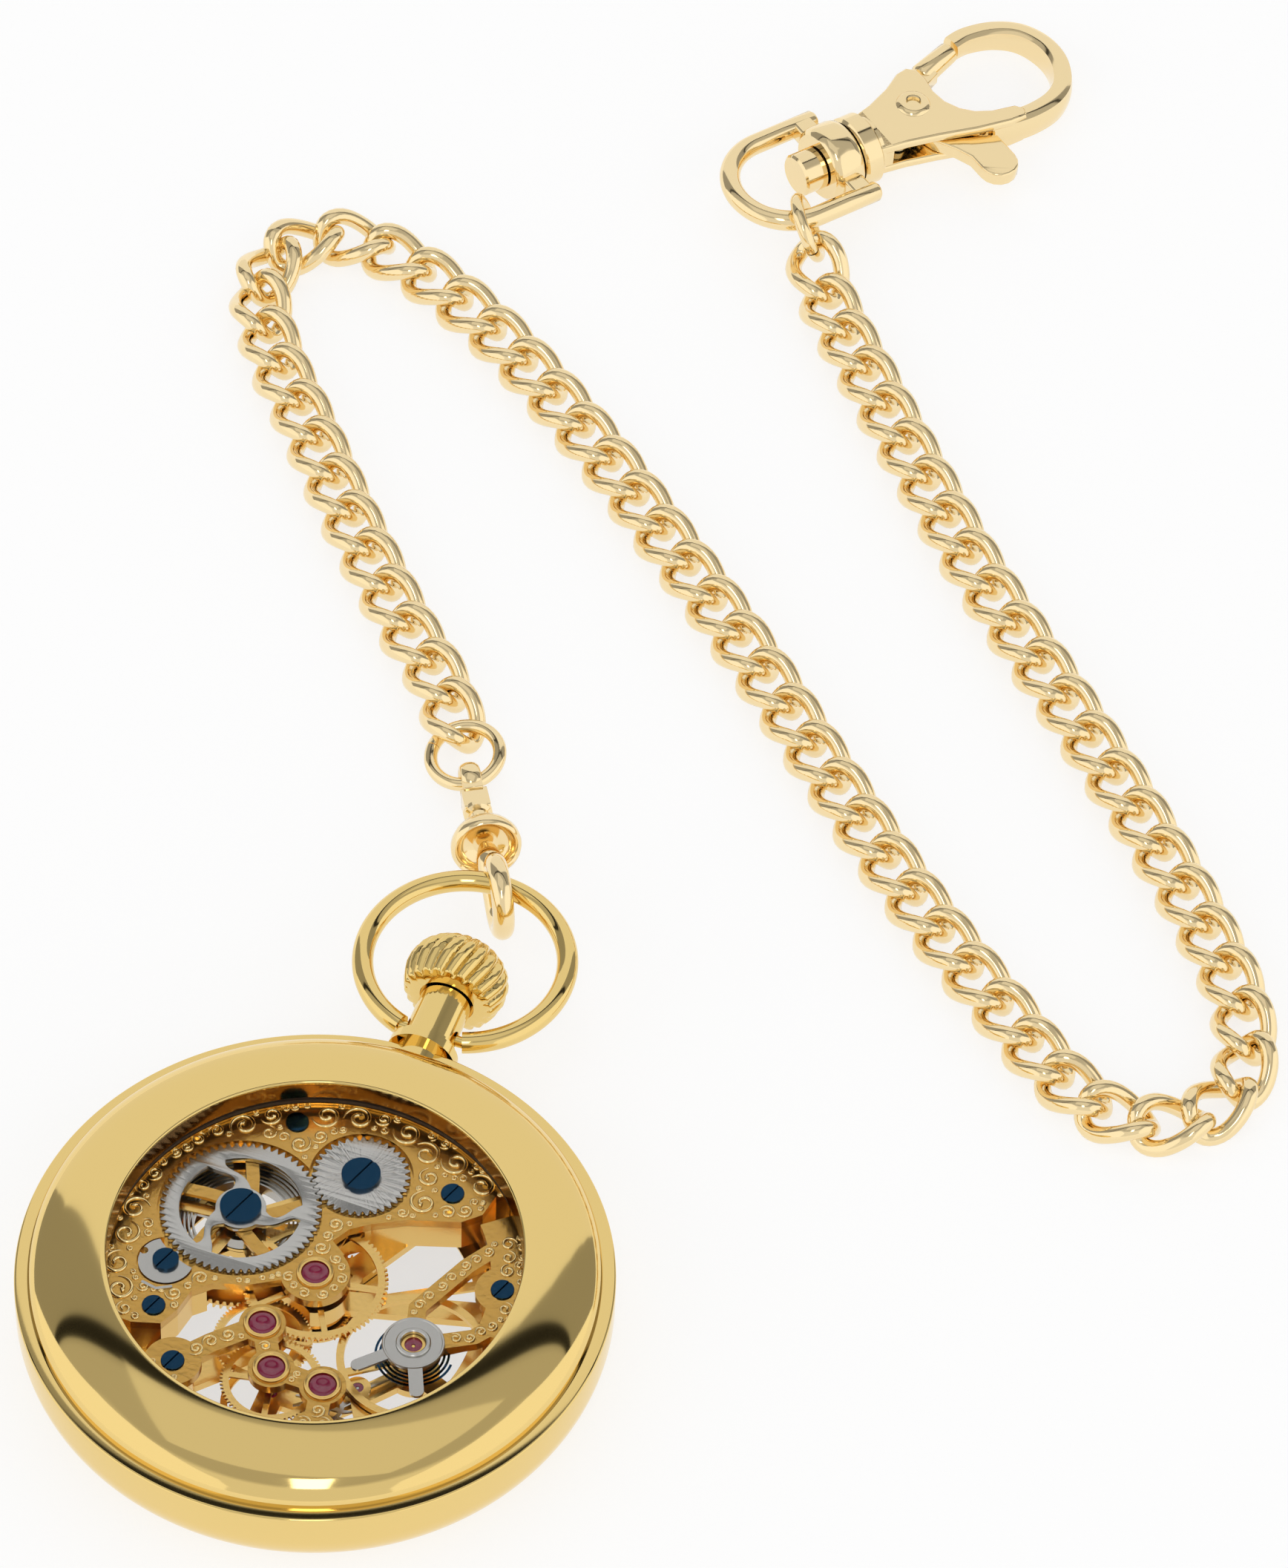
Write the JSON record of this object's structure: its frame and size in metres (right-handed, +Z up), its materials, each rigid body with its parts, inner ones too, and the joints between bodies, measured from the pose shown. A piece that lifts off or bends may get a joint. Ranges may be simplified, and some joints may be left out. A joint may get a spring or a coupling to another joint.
{
  "type": "pocket watch",
  "caption": "Skeleton pocket watch with a window back, bow, fluted crown, curb chain, swivel hook and a sprung swivel clasp.",
  "frame": {"origin": "case axis at the flat of the front rim that the watch lies on", "axes": "+Z up through the back of the watch, +Y from the case axis to the pendant and crown"},
  "size_m": [0.1147, 0.1841, 0.0117],
  "materials": {
    "case_gold": "mirror polished gold plate",
    "movement_gold": "gilt, engraved and polished",
    "balance_gold": "polished",
    "chain_gold": "polished pale gold plate",
    "steel": "polished and sunray brushed",
    "blued_steel": "heat-blued polish",
    "ruby": "polished",
    "glass": "clear",
    "gasket": "matte"
  },
  "bodies": {
    "case": {"case_band": "case_gold", "back_bezel": "case_gold", "front_bezel": "case_gold", "crystals": "glass", "crystal_gaskets": "gasket", "movement_ring": "movement_gold", "pendant_tube": "case_gold", "main_plate": "movement_gold", "barrel_bridge": "movement_gold", "train_bridge": "movement_gold", "pallet_bridge": "movement_gold", "balance_cock": "movement_gold", "regulator": "steel", "jewels": "ruby", "jewel_settings": "movement_gold", "movement_screws": "blued_steel", "dial": "movement_gold", "click_spring": "steel", "hairspring": "blued_steel"},
    "bow": {"bow": "case_gold"},
    "crown_slide": {"crown_gasket": "gasket"},
    "crown": {"crown": "case_gold", "winding_stem": "steel"},
    "winding_pinion": {"winding_pinion": "steel"},
    "crown_wheel": {"crown_wheel": "steel"},
    "ratchet": {"ratchet_wheel": "steel", "ratchet_screw": "blued_steel", "barrel_arbor": "steel"},
    "click": {"click": "steel"},
    "barrel": {"barrel_drum": "movement_gold", "mainspring": "steel"},
    "centre": {"centre_wheel": "movement_gold", "cannon_pinion": "steel", "minute_hand": "blued_steel"},
    "third": {"third_wheel": "movement_gold"},
    "fourth": {"fourth_wheel": "movement_gold", "seconds_hand": "blued_steel"},
    "escape": {"escape_wheel": "steel"},
    "pallet": {"pallet_fork": "steel", "pallet_stones": "ruby"},
    "balance": {"balance_wheel": "balance_gold"},
    "minute_wheel": {"minute_wheel": "movement_gold"},
    "hour": {"hour_wheel": "movement_gold", "hour_hand": "blued_steel"},
    "swivel_hook": {"swivel_hook": "chain_gold"},
    "swivel_cup": {"swivel_cup": "chain_gold"},
    "swivel_eye": {"swivel_eye": "chain_gold", "jump_ring_near": "chain_gold"},
    "chain_1": {"chain_links_1": "chain_gold"},
    "chain_2": {"chain_links_2": "chain_gold"},
    "chain_3": {"chain_links_3": "chain_gold"},
    "chain_4": {"chain_links_4": "chain_gold"},
    "chain_5": {"chain_links_5": "chain_gold"},
    "chain_6": {"chain_links_6": "chain_gold", "jump_ring_far": "chain_gold"},
    "clasp_bail": {"clasp_bail": "chain_gold"},
    "clasp_body": {"clasp_body": "chain_gold", "clasp_rivet": "chain_gold", "clasp_spring": "steel"},
    "clasp_gate": {"clasp_gate": "chain_gold"}
  },
  "joints": [
    {"name": "bow_swing", "type": "hinge", "parent": "case", "child": "bow", "pos_m": [0, 0.02799, 0.0063], "axis": [1, 0, 0], "range_deg": [-30, 75]},
    {"name": "swivel_hang", "type": "hinge", "parent": "bow", "child": "swivel_hook", "pos_m": [0, 0.04505, 0.0063], "axis": [1, 0, 0], "range_deg": [-75, 30]},
    {"name": "cup_spin", "type": "hinge", "parent": "swivel_hook", "child": "swivel_cup", "pos_m": [-0.0036, 0.0512, 0.0036], "axis": [-0.4674, 0.8503, -0.2419], "continuous": true},
    {"name": "swivel_turn", "type": "hinge", "parent": "swivel_hook", "child": "swivel_eye", "pos_m": [-0.0036, 0.0512, 0.0036], "axis": [-0.4674, 0.8503, -0.2419], "range_deg": [-12, 12]},
    {"name": "chain_root", "type": "hinge", "parent": "swivel_eye", "child": "chain_1", "pos_m": [-0.01022, 0.06282, 0.00164], "axis": [0, 0, 1], "range_deg": [-6, 6]},
    {"name": "chain_bend_1", "type": "hinge", "parent": "chain_1", "child": "chain_2", "pos_m": [-0.03458, 0.09083, 0.00164], "axis": [0, 0, 1], "range_deg": [-6, 6]},
    {"name": "chain_bend_2", "type": "hinge", "parent": "chain_2", "child": "chain_3", "pos_m": [-0.01286, 0.10046, 0.00164], "axis": [0, 0, 1], "range_deg": [-6, 6]},
    {"name": "chain_bend_3", "type": "hinge", "parent": "chain_3", "child": "chain_4", "pos_m": [0.02856, 0.06316, 0.00164], "axis": [0, 0, 1], "range_deg": [-6, 6]},
    {"name": "chain_bend_4", "type": "hinge", "parent": "chain_4", "child": "chain_5", "pos_m": [0.05699, 0.06539, 0.00164], "axis": [0, 0, 1], "range_deg": [-6, 6]},
    {"name": "chain_bend_5", "type": "hinge", "parent": "chain_5", "child": "chain_6", "pos_m": [0.0244, 0.09849, 0.00164], "axis": [0, 0, 1], "range_deg": [-6, 6]},
    {"name": "clasp_hang", "type": "hinge", "parent": "chain_6", "child": "clasp_bail", "pos_m": [-0.00086, 0.12878, 0.0041], "axis": [0, 0, 1], "range_deg": [-6, 6]},
    {"name": "clasp_spin", "type": "hinge", "parent": "clasp_bail", "child": "clasp_body", "pos_m": [-0.001, 0.1369, 0.00375], "axis": [0.6017, 0.7956, -0.0698], "continuous": true},
    {"name": "clasp_gate_open", "type": "hinge", "parent": "clasp_body", "child": "clasp_gate", "pos_m": [0.00398, 0.14514, 0.00308], "axis": [0.0421, 0.0556, 0.9976], "range_deg": [-25, 0], "stiffness_Nm_per_rad": 0.001, "springref_deg": 5.73},
    {"name": "crown_pull", "type": "slide", "parent": "case", "child": "crown_slide", "axis": [0, 1, 0], "range_m": [0, 0.001]},
    {"name": "crown_turn", "type": "hinge", "parent": "crown_slide", "child": "crown", "pos_m": [0, 0.03, 0.0063], "axis": [0, 1, 0], "continuous": true},
    {"name": "winding_pinion_turn", "type": "hinge", "parent": "case", "child": "winding_pinion", "pos_m": [0, 0.0137, 0.0063], "axis": [0, 1, 0], "continuous": true},
    {"name": "crown_wheel_turn", "type": "hinge", "parent": "case", "child": "crown_wheel", "pos_m": [0.00008, 0.0107, 0.0078], "axis": [0, 0, 1], "continuous": true},
    {"name": "ratchet_turn", "type": "hinge", "parent": "case", "child": "ratchet", "pos_m": [-0.0082, 0.00415, 0.0078], "axis": [0, 0, 1], "continuous": true},
    {"name": "click_tip", "type": "hinge", "parent": "case", "child": "click", "pos_m": [-0.0121, -0.0031, 0.0078], "axis": [0, 0, 1], "range_deg": [0, 10], "stiffness_Nm_per_rad": 0.0002},
    {"name": "fourth_turn", "type": "hinge", "parent": "case", "child": "fourth", "pos_m": [0, -0.0103, 0.006], "axis": [0, 0, 1], "continuous": true},
    {"name": "escape_turn", "type": "hinge", "parent": "case", "child": "escape", "pos_m": [0.0046, -0.0105, 0.006], "axis": [0, 0, 1], "continuous": true},
    {"name": "third_turn", "type": "hinge", "parent": "case", "child": "third", "pos_m": [-0.0023, -0.0063, 0.006], "axis": [0, 0, 1], "continuous": true},
    {"name": "centre_turn", "type": "hinge", "parent": "case", "child": "centre", "pos_m": [0, 0, 0.006], "axis": [0, 0, 1], "continuous": true},
    {"name": "barrel_turn", "type": "hinge", "parent": "case", "child": "barrel", "pos_m": [-0.0082, 0.00415, 0.006], "axis": [0, 0, 1], "continuous": true},
    {"name": "minute_wheel_turn", "type": "hinge", "parent": "case", "child": "minute_wheel", "pos_m": [0.0018, 0.00312, 0.0033], "axis": [0, 0, 1], "continuous": true},
    {"name": "hour_turn", "type": "hinge", "parent": "case", "child": "hour", "pos_m": [0, 0, 0.003], "axis": [0, 0, 1], "continuous": true},
    {"name": "pallet_rock", "type": "hinge", "parent": "case", "child": "pallet", "pos_m": [0.0068, -0.0082, 0.005], "axis": [0, 0, 1], "range_deg": [-5, 5]},
    {"name": "balance_swing", "type": "hinge", "parent": "case", "child": "balance", "pos_m": [0.0102, -0.0041, 0.006], "axis": [0, 0, 1], "range_deg": [-270, 270], "stiffness_Nm_per_rad": 0.000001}
  ],
  "couplings": [
    {"joint": "swivel_hang", "follows": "bow_swing", "ratio": -1},
    {"joint": "winding_pinion_turn", "follows": "crown_turn", "ratio": 1},
    {"joint": "crown_wheel_turn", "follows": "crown_turn", "ratio": -0.5},
    {"joint": "ratchet_turn", "follows": "crown_turn", "ratio": 0.3},
    {"joint": "escape_turn", "follows": "fourth_turn", "ratio": -10},
    {"joint": "third_turn", "follows": "fourth_turn", "ratio": -0.13333},
    {"joint": "centre_turn", "follows": "fourth_turn", "ratio": 0.016667},
    {"joint": "barrel_turn", "follows": "fourth_turn", "ratio": -0.002381},
    {"joint": "minute_wheel_turn", "follows": "fourth_turn", "ratio": -0.0055556},
    {"joint": "hour_turn", "follows": "fourth_turn", "ratio": 0.0013889}
  ]
}
